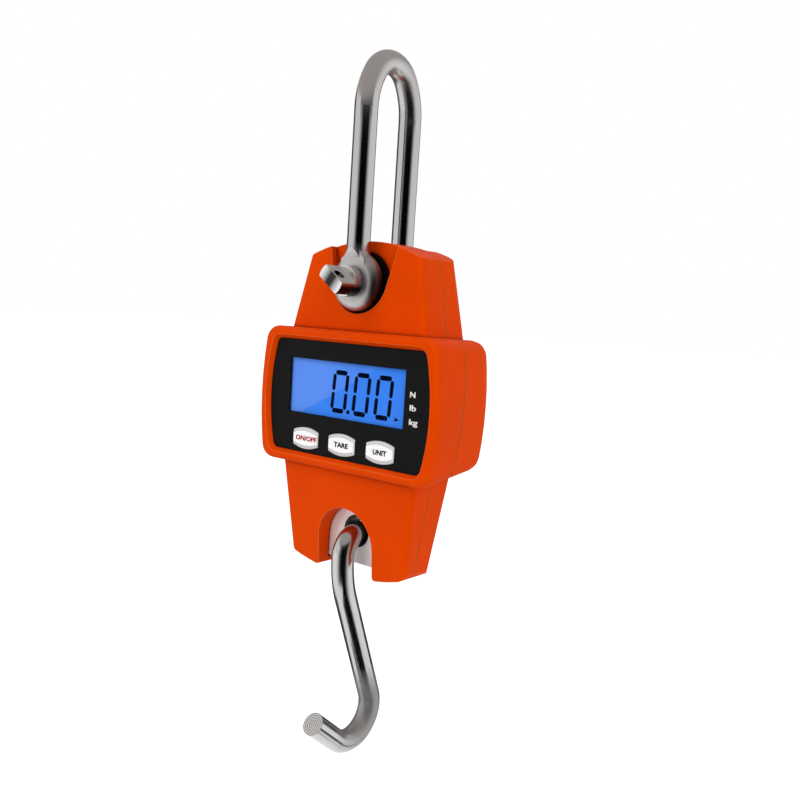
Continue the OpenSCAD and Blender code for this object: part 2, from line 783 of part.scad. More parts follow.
module front_shell() {
    color(orange) difference() {
        union() {
            box_half(0);
            upper_half(0);
            lower_half(0);
        }
        difference() {
            case_hollow();
            mirror([0, 1, 0]) inner_walls();
            for (side = [-1, 1], z = board_hole_z)
                rod_y(board_post_r, -far, board_y, side * board_hole_x, z);
        }
        mirror([0, 1, 0]) outer_cuts();
        panel_pocket();
        for (p = post_places()) rod_y(screw_r + fit, screw_tip_y - slip, far, p[0], p[1]);
        for (side = [-1, 1], z = board_hole_z)
            rod_y(board_screw_r + fit, seat_back + 0.4, 0, side * board_hole_x, z);
    }
}

// The seat of the panel with its bevelled rim, and the openings behind the panel
module panel_pocket() {
    along_y(-far, panel_back) panel_outline(panel_gap);
    hull() {
        along_y(panel_y - layer, panel_y) panel_outline(panel_gap);
        along_y(-box_front - layer, -box_front) panel_outline(panel_gap + bevel);
    }
    block([lcd_shift - glass_w / 2 - slip, panel_back - 1, glass_low - slip],
        [lcd_shift + glass_w / 2 + slip, seat_back + 1, glass_high + slip]);
    for (x = key_x) translate([x, 0, 0]) along_y(panel_back - 1, seat_back + 1) key_outline(slip, slip);
}

module panel_outline(extra) {
    translate([0, box_z]) offset(delta = extra) bulged(panel_w, panel_h, panel_side_r, panel_corner_r);
}

module rear_shell() {
    color(orange) difference() {
        union() {
            rear_box();
            mirror([0, 1, 0]) upper_half(1);
            mirror([0, 1, 0]) lower_half(1);
        }
        difference() {
            case_hollow();
            inner_walls();
            bay_walls();
            for (side = [-1, 1]) rod_y(cell_head_r + 0.8, shelf_y, far, side * cell_screw_x, cell_screw_z);
        }
        outer_cuts();
        bay_cuts();
        for (p = post_places()) {
            rod_y(screw_r + slip, -far, far, p[0], p[1]);
            rod_y(screw_head_r + slip, post_seat_y, far, p[0], p[1]);
        }
        for (side = [-1, 1]) {
            rod_y(cell_screw_r + slip, -far, far, side * cell_screw_x, cell_screw_z);
            rod_y(cell_head_r + slip, cell_head_y, far, side * cell_screw_x, cell_screw_z);
        }
    }
}

// Battery bay in the rear shell, its ledge for the cover and the pockets of the cover's tongues
module bay_walls() {
    block([-bay_w / 2 - bay_wall, cell_half + bay_gap, bay_z - bay_h / 2 - bay_wall],
        [bay_w / 2 + bay_wall, far, bay_z + bay_h / 2 + bay_wall]);
    along_y(cover_y - ledge_t, far) cover_outline(ledge_w);
}

module bay_cuts() {
    block([-bay_w / 2, bay_floor, bay_z - bay_h / 2], [bay_w / 2, far, bay_z + bay_h / 2]);
    along_y(cover_y - seat, far) cover_outline(slip);
    for (side = [-1, 1])
        translate([0, 0, bay_z + side * tongue_z])
            block([-cover_w / 2 - tongue_x - swing, cover_y - 1, -tongue_w / 2 - swing],
                [0, cover_y + tongue_t + slip, tongue_w / 2 + swing]);
}

module cover_outline(extra) {
    r = cover_corner_r + extra;
    w = cover_w + 2 * extra;
    h = cover_h + 2 * extra;
    translate([0, bay_z]) {
        square([w, h - 2 * r], true);
        square([w - 2 * r, h], true);
        for (x = [-1, 1], z = [-1, 1]) translate([x * (w / 2 - r), z * (h / 2 - r)]) circle(r);
    }
}

module battery_cover() {
    notch_r = 9;
    color(orange) {
        difference() {
            intersection() {
                rear_box();
                along_y(cover_y, far) cover_outline(0);
            }
            translate([cover_w / 2 - 1, box_rear + notch_r - 0.7, bay_z]) sphere(notch_r);
        }
        for (side = [-1, 1])
            block([-cover_w / 2 - tongue_x, cover_y, bay_z + side * tongue_z - tongue_w / 2],
                [-cover_w / 2 + 1, cover_y + tongue_t, bay_z + side * tongue_z + tongue_w / 2]);
    }
}

// Display: a black panel with a window, and the display's own layers behind it
module display_panel() {
    color(black) difference() {
        along_y(panel_y, panel_back) panel_outline(0);
        translate([lcd_shift, 0, lcd_z]) cube([lcd_w, far, lcd_h], true);
        for (x = key_x) translate([x, 0, 0]) along_y(-far, 0) key_outline(slip, slip);
    }
}

module lcd_window() {
    color([0.8, 0.9, 1, 0.4]) translate([lcd_shift, 0, lcd_z])
        block([seat - lcd_w / 2, panel_y, seat - lcd_h / 2],
            [lcd_w / 2 - seat, panel_back, lcd_h / 2 - seat]);
}

module lcd_glass() {
    color([0.36, 0.58, 0.96]) block([lcd_shift - glass_w / 2, glass_y, glass_low],
        [lcd_shift + glass_w / 2, glass_y + glass_t, glass_high]);
}

module lcd_backlight() {
    color("white") block([lcd_shift - lcd_w / 2, backlight_y, lcd_z - lcd_h / 2],
        [lcd_shift + lcd_w / 2, backlight_y + backlight_t, lcd_z + lcd_h / 2]);
}

module lcd_holder() {
    lip = 1.3;
    color("ivory") difference() {
        block([lcd_shift - glass_w / 2 - lip, backlight_y, glass_low - holder_lip],
            [lcd_shift + glass_w / 2 + lip, board_y - seat, glass_high + lip / 2]);
        block([lcd_shift - lcd_w / 2 - seat, -far, lcd_z - lcd_h / 2 - seat],
            [lcd_shift + lcd_w / 2 + seat, 0, lcd_z + lcd_h / 2 + seat]);
        block([lcd_shift - lcd_w / 2, -far, glass_low + 0.04 * contact_h],
            [lcd_shift + lcd_w / 2, 0, glass_low + 0.74 * contact_h]);
    }
}

module contact_strip() {
    color("dimgray") block([lcd_shift - lcd_w / 2 + slip, backlight_y, glass_low + 0.11 * contact_h],
        [lcd_shift + lcd_w / 2 - slip, board_y - seat, glass_low + 0.67 * contact_h]);
}

module circuit_board() {
    color("darkgreen") difference() {
        block([-board_w / 2, board_y, board_low], [board_w / 2, board_y + board_t, board_high]);
        for (side = [-1, 1], z = board_hole_z) rod_y(board_screw_r + slip, -far, 0, side * board_hole_x, z);
    }
}

// Chips and small parts on the back of the board, and the socket of the gauge lead
module board_parts() {
    back = board_y + board_t;
    color("dimgray") {
        translate([chip_edge - board_w / 2, back + chip[1] / 2, box_z + chip[2] / 2]) cube(chip, true);
        for (i = [-2:2]) translate([i * resistor_step, back + resistor[1] / 2, resistor_z])
            cube(resistor, true);
        for (x = capacitor_x) rod_y(capacitor_r, back, back + capacitor_t, x, capacitor_z);
        translate([socket_x, back, box_z + socket_z]) cube([socket_w, socket_y - back + 0.8, socket_h]);
    }
}

// The outline of a key, wider and taller by so much on each side
module key_outline(wide, tall) {
    rise = key_arc_r - key_h / 2 - tall;
    translate([0, key_z]) intersection() {
        square([key_w + 2 * wide, 2 * key_h], true);
        translate([0, -rise]) circle(key_arc_r, $fn = 180);
        translate([0, rise]) circle(key_arc_r, $fn = 180);
    }
}

module key(x) {
    color("whitesmoke") translate([x, 0, 0]) {
        hull() {
            along_y(key_y, key_y + slice) key_outline(-slip, -key_slope);
            along_y(panel_y - 0.35, panel_y - 0.3) key_outline(0, 0);
        }
        along_y(panel_y - 0.32, key_back) key_outline(0, 0);
        along_y(seat_back + slip / 2, key_back) key_outline(flange, 0);
    }
}

module on_off_button() { key(key_x[0]); }
module tare_button() { key(key_x[1]); }
module unit_button() { key(key_x[2]); }

module plunger(x) {
    color("dimgray") rod_y(plunger_r, key_back, board_y - key_travel - 0.1, x, key_z);
}

module on_off_plunger() { plunger(key_x[0]); }
module tare_plunger() { plunger(key_x[1]); }
module unit_plunger() { plunger(key_x[2]); }

module key_switches() {
    color("gray") for (x = key_x) difference() {
        block([x - switch_w / 2, switch_y, key_z - switch_w / 2],
            [x + switch_w / 2, board_y, key_z + switch_w / 2]);
        rod_y(plunger_r + fit, -far, 0, x, key_z);
    }
}

module screw(r, tip, seat_at, head_r, head_t, x, z) {
    rod_y(r, tip, seat_at, x, z);
    difference() {
        rod_y(head_r, seat_at, seat_at + head_t, x, z);
        for (turn = [0, 90]) translate([x, seat_at + head_t, z]) rotate([0, turn, 0])
            cube([head_r * 1.2, head_t, head_r * 0.3], true);
    }
}

module board_screws() {
    color("silver") for (side = [-1, 1], z = board_hole_z)
        screw(board_screw_r, seat_back + 0.6, board_y + board_t, board_head_r, board_head_t,
            side * board_hole_x, z);
}

module case_screws() {
    color("dimgray") for (p = post_places())
        screw(screw_r, screw_tip_y, post_seat_y, screw_head_r, screw_head_t, p[0], p[1]);
}

module cell_screws() {
    color("dimgray") for (side = [-1, 1])
        screw(cell_screw_r, -cell_half + 1, cell_head_y, cell_head_r, cell_head_t,
            side * cell_screw_x, cell_screw_z);
}

// Batteries lie across the box, the middle one the other way round
module battery(row) {
    nub = 0.8;
    turn = row == 0 ? 1 : 0;
    color("lightgray") translate([0, battery_y, bay_z + row * battery_step]) mirror([turn, 0, 0])
        translate([battery_end, 0, 0]) rotate([0, -90, 0]) {
            cylinder(r = 1.9, h = nub + slice);
            translate([0, 0, nub]) cylinder(r = battery_d / 2, h = battery_len - nub);
        }
}

module battery_upper() { battery(1); }
module battery_middle() { battery(0); }
module battery_lower() { battery(-1); }

module battery_springs() {
    turns = 3.5;
    steps = 12;
    wire = 0.6;
    wide = battery_d * 0.36;
    narrow = battery_d * 0.22;
    total = turns * steps;
    start = -bay_w / 2 + plate_t + wire / 2 + 2 * seat;
    run = battery_end - battery_len - start - wire / 2 - seat;
    path = [for (i = [0:total]) let (t = i / total, r = mix(wide, narrow, t))
        [start + run * t, r * cos(360 * i / steps), r * sin(360 * i / steps)]];
    color("silver") for (row = [-1:1])
        translate([0, battery_y, bay_z + row * battery_step]) mirror([row == 0 ? 1 : 0, 0, 0])
            tube(path, wire, [1, 0, 0], 6);
}

module battery_plates() {
    size = battery_d - 1.6;
    color("silver") for (side = [-1, 1], row = [-1:1])
        translate([side * (bay_w / 2 - seat - plate_t / 2), battery_y, bay_z + row * battery_step])
            cube([plate_t, size, size], true);
}

module battery_lead() {
    wall_x = bay_w / 2 + bay_wall;
    color("firebrick") tube([for (p = supply_route) p + [wall_x, 0, box_z]], lead_d, [0, 0, 1]);
}

shackle();
shackle_pin();
hook();
load_cell();
front_spacer();
rear_spacer();
strain_gauges();
gauge_lead();
front_shell();
rear_shell();
display_panel();
lcd_window();
lcd_glass();
lcd_backlight();
lcd_holder();
contact_strip();
circuit_board();
board_parts();
key_switches();
on_off_plunger();
tare_plunger();
unit_plunger();
on_off_button();
tare_button();
unit_button();
board_screws();
case_screws();
cell_screws();
battery_cover();
battery_upper();
battery_middle();
battery_lower();
battery_springs();
battery_plates();
battery_lead();
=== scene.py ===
import json
import math
import bpy
import bmesh
from mathutils import Matrix, Vector


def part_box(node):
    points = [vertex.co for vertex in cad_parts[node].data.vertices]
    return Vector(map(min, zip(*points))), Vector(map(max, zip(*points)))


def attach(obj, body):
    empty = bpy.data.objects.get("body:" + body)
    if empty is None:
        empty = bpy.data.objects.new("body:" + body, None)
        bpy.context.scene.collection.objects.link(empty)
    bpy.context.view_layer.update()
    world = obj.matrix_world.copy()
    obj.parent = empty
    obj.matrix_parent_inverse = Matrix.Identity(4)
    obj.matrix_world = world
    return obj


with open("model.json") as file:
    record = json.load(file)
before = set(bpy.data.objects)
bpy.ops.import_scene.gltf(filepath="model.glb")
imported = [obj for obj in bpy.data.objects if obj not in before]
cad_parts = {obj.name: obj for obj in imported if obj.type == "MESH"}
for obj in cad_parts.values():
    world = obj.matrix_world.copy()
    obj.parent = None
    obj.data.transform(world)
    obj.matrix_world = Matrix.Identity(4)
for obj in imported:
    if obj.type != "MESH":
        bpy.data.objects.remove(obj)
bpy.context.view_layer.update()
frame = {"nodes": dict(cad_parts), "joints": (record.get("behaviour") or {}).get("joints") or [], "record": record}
nodes = frame["nodes"]
scene = bpy.context.scene
MM = 0.001


# Places that the frame gives, in metres
def middle(node):
    """The middle of a node's box at rest."""
    low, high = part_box(node)
    return (low + high) / 2


def front(node):
    """The Y of a node's front, which is the low side of its box."""
    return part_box(node)[0].y


JOINTS = {joint["name"]: Vector(joint["pos_m"]) for joint in frame["joints"]}
MOUNTS = {mount["name"]: mount for mount in frame["record"]["mounts"]}
PIN_Z = JOINTS["pin_turn"].z
HOOK_Z = JOINTS["hook_swing"].z
SADDLE = Vector(MOUNTS["hook_saddle"]["pos_m"])
LCD = middle("lcd_window")


# Colours are written as they look on a screen, and turned to linear light here
def lin(r, g, b):
    def one(c):
        c /= 255.0
        return c / 12.92 if c <= 0.04045 else ((c + 0.055) / 1.055) ** 2.4
    return (one(r), one(g), one(b), 1.0)


def grey(tone):
    """A grey in linear light."""
    return (tone, tone, tone, 1.0)


# Objects and meshes
def add_object(name, data):
    """Adds an object with the given mesh, text, lamp or camera to the scene."""
    obj = bpy.data.objects.new(name, data)
    scene.collection.objects.link(obj)
    return obj


def mesh_of(name, bm):
    """Turns a bmesh into a mesh, and frees it."""
    mesh = bpy.data.meshes.new(name)
    bm.to_mesh(mesh)
    bm.free()
    return mesh


# The camera, fitted to the photo
AZ, EL, ROLL = math.radians(38.6508), math.radians(5.7694), math.radians(-3.6285)
CAMERA_AT = Vector((0.199169, -0.233045, -0.079870))
SENSOR, LENS = 36.0, 39.2185
NEAREST, FARTHEST = 0.01, 50.0


def photo_camera():
    back = Vector((math.sin(AZ) * math.cos(EL), -math.cos(AZ) * math.cos(EL), math.sin(EL)))
    right = Vector((math.cos(AZ), math.sin(AZ), 0.0))
    up = back.cross(right)
    rolled_right = math.cos(ROLL) * right - math.sin(ROLL) * up
    rolled_up = math.cos(ROLL) * up + math.sin(ROLL) * right
    data = bpy.data.cameras.new("camera")
    data.sensor_width = SENSOR
    data.lens = LENS
    data.clip_start = NEAREST
    data.clip_end = FARTHEST
    cam = add_object("camera", data)
    turn = Matrix((rolled_right, rolled_up, back)).transposed().to_4x4()
    cam.matrix_world = Matrix.Translation(CAMERA_AT) @ turn
    scene.camera = cam


photo_camera()
scene.view_settings.view_transform = "Standard"


# Materials
class Mat:
    """A node material with one Principled shader, and short ways to add detail to it."""

    NOISE_REACH = (0.3, 0.7)
    FLAT_TO_EDGE = (0.985, 0.85)
    GROOVE_TO_OPEN = (0.45, 0.9)

    def __init__(self, name, color, rough, metal=0.0, spec=0.5):
        self.m = bpy.data.materials.new(name)
        self.m.use_nodes = True
        self.t = self.m.node_tree
        self.b = next(n for n in self.t.nodes if n.type == "BSDF_PRINCIPLED")
        self.color = color
        self.b.inputs["Base Color"].default_value = color
        self.b.inputs["Roughness"].default_value = rough
        self.b.inputs["Metallic"].default_value = metal
        self.b.inputs["Specular IOR Level"].default_value = spec

    def node(self, kind, **values):
        n = self.t.nodes.new(kind)
        for k, v in values.items():
            setattr(n, k, v)
        return n

    def link(self, a, b):
        self.t.links.new(a, b)

    def feed(self, value, socket):
        """Links a socket to another one, or sets it to a plain value."""
        if isinstance(value, bpy.types.NodeSocket):
            self.link(value, socket)
        else:
            socket.default_value = value

    def use(self, result, socket):
        """Links a result to one of the shader's sockets."""
        self.link(result, self.b.inputs[socket])

    def used(self, socket):
        """The result that one of the shader's sockets has so far."""
        return self.b.inputs[socket].links[0].from_socket

    def calc(self, operation, *values):
        """A number worked out from others."""
        n = self.node("ShaderNodeMath", operation=operation)
        for value, socket in zip(values, n.inputs):
            self.feed(value, socket)
        return n.outputs["Value"]

    def vector(self, operation, *values):
        """SUBTRACT gives a vector, and DOT_PRODUCT, DISTANCE and LENGTH give a number."""
        n = self.node("ShaderNodeVectorMath", operation=operation)
        for value, socket in zip(values, n.inputs):
            self.feed(value, socket)
        return n.outputs["Vector" if operation == "SUBTRACT" else "Value"]

    def level(self, value, low, high, start=0.0, end=1.0, kind="LINEAR"):
        """Goes from start to end while a value goes from low to high."""
        n = self.node("ShaderNodeMapRange", interpolation_type=kind)
        for name, number in (("From Min", low), ("From Max", high), ("To Min", start), ("To Max", end)):
            n.inputs[name].default_value = number
        self.link(value, n.inputs["Value"])
        return n.outputs["Result"]

    def mix(self, fac, first, second):
        """A colour between two."""
        n = self.node("ShaderNodeMixRGB")
        for value, name in ((fac, "Fac"), (first, "Color1"), (second, "Color2")):
            self.feed(value, n.inputs[name])
        return n.outputs["Color"]

    def ramp(self, fac, low, high, a=0.35, b=0.65):
        r = self.node("ShaderNodeValToRGB")
        r.color_ramp.elements[0].position = a
        r.color_ramp.elements[1].position = b
        r.color_ramp.elements[0].color = low
        r.color_ramp.elements[1].color = high
        self.link(fac, r.inputs["Fac"])
        return r.outputs["Color"]

    def place(self, scale=(1, 1, 1)):
        coord = self.node("ShaderNodeTexCoord")
        mapping = self.node("ShaderNodeMapping")
        mapping.inputs["Scale"].default_value = scale
        self.link(coord.outputs["Object"], mapping.inputs["Vector"])
        return mapping.outputs["Vector"]

    def along(self, axis):
        """How far a point lies along X, Y or Z."""
        split = self.node("ShaderNodeSeparateXYZ")
        self.link(self.place(), split.inputs["Vector"])
        return split.outputs[axis]

    def noise(self, scale, detail=4.0, stretch=(1, 1, 1)):
        n = self.node("ShaderNodeTexNoise")
        n.inputs["Scale"].default_value = scale
        n.inputs["Detail"].default_value = detail
        self.link(self.place(stretch), n.inputs["Vector"])
        return n.outputs["Fac"]

    def rounded(self, radius):
        """The normal, with edges rounded in the shading."""
        n = self.node("ShaderNodeBevel", samples=6)
        n.inputs["Radius"].default_value = radius
        return n.outputs["Normal"]

    def mottle(self, scale, amount, detail=4.0, stretch=(1, 1, 1)):
        """Slight changes of colour over the surface."""
        c = self.color
        low = tuple(v * (1 - amount) for v in c[:3]) + (1.0,)
        high = tuple(min(1.0, v * (1 + amount)) for v in c[:3]) + (1.0,)
        self.use(self.ramp(self.noise(scale, detail, stretch), low, high), "Base Color")
        return self

    def vary_rough(self, scale, low, high, detail=3.0, stretch=(1, 1, 1)):
        """Slight changes of gloss over the surface."""
        self.use(self.level(self.noise(scale, detail, stretch), *self.NOISE_REACH, low, high), "Roughness")
        return self

    def relief(self, height, strength, depth, round_edge=0.0):
        """Relief in the shading, over rounded edges if a radius is given."""
        bump = self.node("ShaderNodeBump")
        bump.inputs["Strength"].default_value = strength
        bump.inputs["Distance"].default_value = depth
        self.link(height, bump.inputs["Height"])
        if round_edge:
            self.link(self.rounded(round_edge), bump.inputs["Normal"])
        self.use(bump.outputs["Normal"], "Normal")
        return self

    def grain(self, scale, strength, depth, detail=2.0, stretch=(1, 1, 1), round_edge=0.0):
        """Fine uneven relief."""
        return self.relief(self.noise(scale, detail, stretch), strength, depth, round_edge)

    def edges(self, light, dark, radius, reach):
        """Painted highlights along outer edges and painted shade in grooves."""
        geometry = self.node("ShaderNodeNewGeometry")
        turn = self.vector("DOT_PRODUCT", self.rounded(radius), geometry.outputs["Normal"])
        room = self.node("ShaderNodeAmbientOcclusion", samples=8)
        room.inputs["Distance"].default_value = reach
        painted_highlight_amount = self.level(turn, *self.FLAT_TO_EDGE)
        clear = self.level(room.outputs["AO"], *self.GROOVE_TO_OPEN)
        paler = self.mix(self.calc("MULTIPLY", painted_highlight_amount, clear), self.used("Base Color"), light)
        self.use(self.mix(clear, dark, paler), "Base Color")
        return self

    def shade(self, axis, clear, full, dark, below=None):
        """Paints shade on the sides that face along an axis, between two cosines, and only below a height if
        given.
        """
        normal = self.node("ShaderNodeTexCoord").outputs["Normal"]
        amount = self.level(self.vector("DOT_PRODUCT", normal, axis), clear, full, kind="SMOOTHSTEP")
        if below:
            low_down = self.level(self.along("Z"), *below, kind="SMOOTHSTEP")
            amount = self.calc("MULTIPLY", amount, low_down)
        self.use(self.mix(amount, self.used("Base Color"), dark), "Base Color")
        return self


orange = Mat("orange_case", lin(223, 67, 0), 0.45, spec=0.035)
orange.b.inputs["Specular Tint"].default_value = (1.0, 0.40, 0.14, 1.0)
orange.mottle(55, 0.03).vary_rough(180, 0.40, 0.50).grain(2600, 0.10, 0.00006, round_edge=0.0007)
# Painted highlights along the edges of the case, and painted shade in its grooves
orange.edges(lin(246, 118, 58), lin(122, 29, 0), 0.0007, 0.0016)


BRIGHT_STEEL, DULL_STEEL = lin(190, 188, 187), lin(142, 140, 139)
DRAWN_SCALE, DRAWN_DETAIL, DRAWN_STRETCH = 260, 3.0, (1, 1, 0.15)


def blend(look, reach, socket, start, end, wave=0.0, point=None):
    """Changes one socket over a reach of heights, or of distances from a point, a little unevenly.

    For the base colour, zero is dull steel and one is the material's own colour.
    """
    measure = look.along("Z") if point is None else look.vector("DISTANCE", look.place(), point)
    even = look.level(measure, *reach, start, end)
    noise = look.noise(DRAWN_SCALE, DRAWN_DETAIL, DRAWN_STRETCH)
    result = look.calc("MULTIPLY_ADD", noise, wave, even)
    if socket == "Base Color":
        result = look.ramp(result, DULL_STEEL, look.color, 0.0, 1.0)
    look.use(result, socket)


# The hook is polished, and duller round its bend, where loads rub it
BEND = SADDLE + Vector((0.0, 0.00963, 0.00395))
BEND_REACH = (0.010, 0.021)
steel = Mat("polished_steel", BRIGHT_STEEL, 0.2, metal=1.0)
blend(steel, BEND_REACH, "Roughness", 0.36, 0.18, 0.02, BEND)
blend(steel, BEND_REACH, "Metallic", 0.60, 1.0, 0.0, BEND)
blend(steel, BEND_REACH, "Base Color", 0.0, 0.95, 0.12, BEND)

# The forged shackle: its bow and legs are polished, its eyes are left satin and have painted shade on their right,
# and the crown of its bow is rubbed dull by what it hangs from
EYE_TO_LEG = (PIN_Z + 0.0087, PIN_Z + 0.0137)
EYE_SHADE_REACH = (PIN_Z + 0.0092, PIN_Z - 0.0003)
LEG_TO_CROWN = (-0.016, -0.002)
forged = Mat("forged_steel", BRIGHT_STEEL, 0.2, metal=1.0)
forged.mottle(60, 0.04, stretch=(1, 1, 0.25))
blend(forged, EYE_TO_LEG, "Roughness", 0.46, 0.10, 0.01)
crown = forged.level(forged.along("Z"), *LEG_TO_CROWN, 0.0, 0.24)
forged.use(forged.calc("ADD", forged.used("Roughness"), crown), "Roughness")
# Painted shade on the right side of the eyes, low down
forged.shade((1, 0, 0), 0.3, 0.8, lin(74, 74, 74), EYE_SHADE_REACH)

pin_steel = Mat("pin_steel", lin(222, 221, 220), 0.26, metal=1.0)
pin_steel.mottle(120, 0.05).vary_rough(260, 0.30, 0.38).grain(420, 0.02, 0.00004, round_edge=0.0004)
# Painted shade on the underside of the pin, on faces that look down
pin_steel.shade((0, 0, -1), 0.05, 0.5, lin(20, 20, 20))

alloy = Mat("cell_alloy", lin(242, 242, 242), 0.4, metal=0.25)
alloy.mottle(300, 0.03, stretch=(0.1, 1, 1)).vary_rough(700, 0.34, 0.48, stretch=(0.08, 1, 1))
alloy.grain(1500, 0.10, 0.00004, stretch=(0.06, 1, 1), round_edge=0.0004)

# Painted shade for the inside of the bore that the hook hangs in
bore_shade = Mat("painted_shade_bore", lin(60, 54, 50), 0.4, metal=0.25)
bore_shade.mottle(300, 0.15).vary_rough(300, 0.34, 0.46)

black = Mat("black_plastic", lin(8, 8, 8), 0.5, spec=0.1)
black.mottle(200, 0.15).vary_rough(300, 0.45, 0.6).grain(2200, 0.10, 0.00005)

panel = Mat("black_panel", lin(18, 19, 19), 0.5, spec=0.05)
panel.mottle(120, 0.06).vary_rough(400, 0.45, 0.55).grain(3000, 0.05, 0.00003)

key_white = Mat("white_key", lin(252, 252, 252), 0.38, spec=0.3)
key_white.mottle(90, 0.015).vary_rough(300, 0.34, 0.44).grain(2400, 0.05, 0.00004, round_edge=0.00015)

key_edge = Mat("white_key_edge", lin(207, 207, 210), 0.42, spec=0.1)
key_edge.mottle(90, 0.015).vary_rough(300, 0.38, 0.46)

segment = Mat("lcd_segment", lin(2, 8, 30), 0.4, spec=0.0)
segment.mottle(400, 0.1).vary_rough(400, 0.35, 0.45)

letter_white = Mat("print_white", lin(240, 240, 238), 0.5)
letter_white.mottle(900, 0.03).vary_rough(900, 0.45, 0.55)
letter_red = Mat("print_red", lin(168, 10, 18), 0.5, spec=0.0)
letter_red.mottle(900, 0.05).vary_rough(900, 0.45, 0.55)
letter_black = Mat("print_black", lin(4, 4, 4), 0.5, spec=0.0)
letter_black.mottle(900, 0.05).vary_rough(900, 0.45, 0.55)

# The display: blue, with a painted reflection that makes it paler above a line that rises to the right, where the
# paler tone fades out
LCD_BLUE, LCD_REFLECTION = lin(60, 137, 255), lin(96, 151, 255)
LINE_RISE, LINE_HEIGHT, LINE_BLUR = 0.533, 0.0018, 0.0003
FADE_REACH = (0.022, -0.012)
lcd = Mat("blue_lcd", LCD_BLUE, 0.3, spec=0.06)
line = lcd.calc("MULTIPLY_ADD", lcd.along("X"), -LINE_RISE, lcd.along("Z"))
above_line = lcd.level(line, LCD.z + LINE_HEIGHT, LCD.z + LINE_HEIGHT + LINE_BLUR)
painted_reflection = lcd.calc("MULTIPLY", above_line, lcd.level(lcd.along("X"), *FADE_REACH))
lcd.use(lcd.ramp(painted_reflection, LCD_BLUE, LCD_REFLECTION, 0.0, 1.0), "Base Color")
lcd.vary_rough(500, 0.26, 0.34)

window = Mat("clear_window", lin(40, 50, 72), 0.06, spec=0.1)
window.b.inputs["Alpha"].default_value = 0.03
window.vary_rough(300, 0.04, 0.08)

ivory = Mat("ivory_plastic", lin(226, 220, 200), 0.5)
ivory.mottle(150, 0.03).vary_rough(300, 0.45, 0.55)
white_light = Mat("backlight_white", lin(236, 240, 248), 0.35)
white_light.mottle(150, 0.02).vary_rough(300, 0.3, 0.4)
rubber = Mat("contact_rubber", lin(70, 70, 72), 0.7)
rubber.mottle(2000, 0.3, stretch=(1, 0.05, 1)).vary_rough(300, 0.6, 0.8)
board = Mat("board_green", lin(20, 92, 52), 0.35)
board.mottle(500, 0.25).vary_rough(200, 0.3, 0.45)
foil = Mat("gauge_foil", lin(196, 150, 84), 0.3)
foil.mottle(1600, 0.25, stretch=(0.1, 1, 1)).vary_rough(500, 0.25, 0.4)
lead = Mat("lead_sheath", lin(170, 40, 34), 0.5)
lead.mottle(400, 0.06).vary_rough(400, 0.45, 0.6)
screw = Mat("screw_steel", lin(96, 96, 98), 0.32, metal=1.0)
screw.mottle(400, 0.1).vary_rough(500, 0.25, 0.42).grain(1500, 0.08, 0.00004, round_edge=0.0002)
can = Mat("battery_can", lin(150, 154, 164), 0.3, metal=0.8)
can.mottle(200, 0.06, stretch=(0.1, 1, 1)).vary_rough(300, 0.25, 0.38, stretch=(0.1, 1, 1))
contact = Mat("contact_metal", lin(200, 198, 190), 0.22, metal=1.0)
contact.mottle(500, 0.06).vary_rough(500, 0.18, 0.3)

# The black spacers fill the channel round the shackle's eye, and their black is partly painted shade there
LOOK = {
    "shackle": forged, "shackle_pin": pin_steel, "hook": steel, "load_cell": alloy,
    "front_spacer": black, "rear_spacer": black, "strain_gauges": foil, "gauge_lead": lead,
    "front_shell": orange, "rear_shell": orange, "battery_cover": orange,
    "display_panel": panel, "lcd_window": window, "lcd_glass": lcd, "lcd_backlight": white_light,
    "lcd_holder": ivory, "contact_strip": rubber, "circuit_board": board, "board_parts": black,
    "key_switches": black, "on_off_plunger": black, "tare_plunger": black, "unit_plunger": black,
    "on_off_button": key_white, "tare_button": key_white, "unit_button": key_white,
    "board_screws": screw, "case_screws": screw, "cell_screws": screw,
    "battery_upper": can, "battery_middle": can, "battery_lower": can,
    "battery_springs": contact, "battery_plates": contact, "battery_lead": lead,
}
for name, look in LOOK.items():
    mesh = nodes[name].data
    mesh.materials.clear()
    mesh.materials.append(look.m)


def dress(node, look, chosen):
    """Gives the faces of a node that pass a test a look of their own."""
    mesh = nodes[node].data
    mesh.materials.append(look.m)
    for f in mesh.polygons:
        if chosen(f):
            f.material_index = 1


# The sloping upper and lower edges of the keys are a shade greyer
KEY_SLOPE = 0.2
for name in ("on_off_button", "tare_button", "unit_button"):
    dress(name, key_edge, lambda f: abs(f.normal.z) > KEY_SLOPE)

# The bore that the hook hangs in has painted shade, dark on its walls: its middle is above the hook's axis
BORE_LIFT, BORE_R, BORE_FACING = 0.00095, 0.0059, 0.9
BORE_Z = HOOK_Z + BORE_LIFT


def in_bore(f):
    return abs(f.normal.y) < BORE_FACING and math.hypot(f.center.x, f.center.z - BORE_Z) < BORE_R


dress("load_cell", bore_shade, in_bore)

# The end of the hook's tip and the end of the pin are turned, and show fine rings round their middle, with a
# painted sheen in their colour
RING_PITCH, RING_STRENGTH, RING_DEPTH = 0.0008, 0.6, 0.00003
SAME_WAY = 0.999
PIN_END_HALF = 0.0047


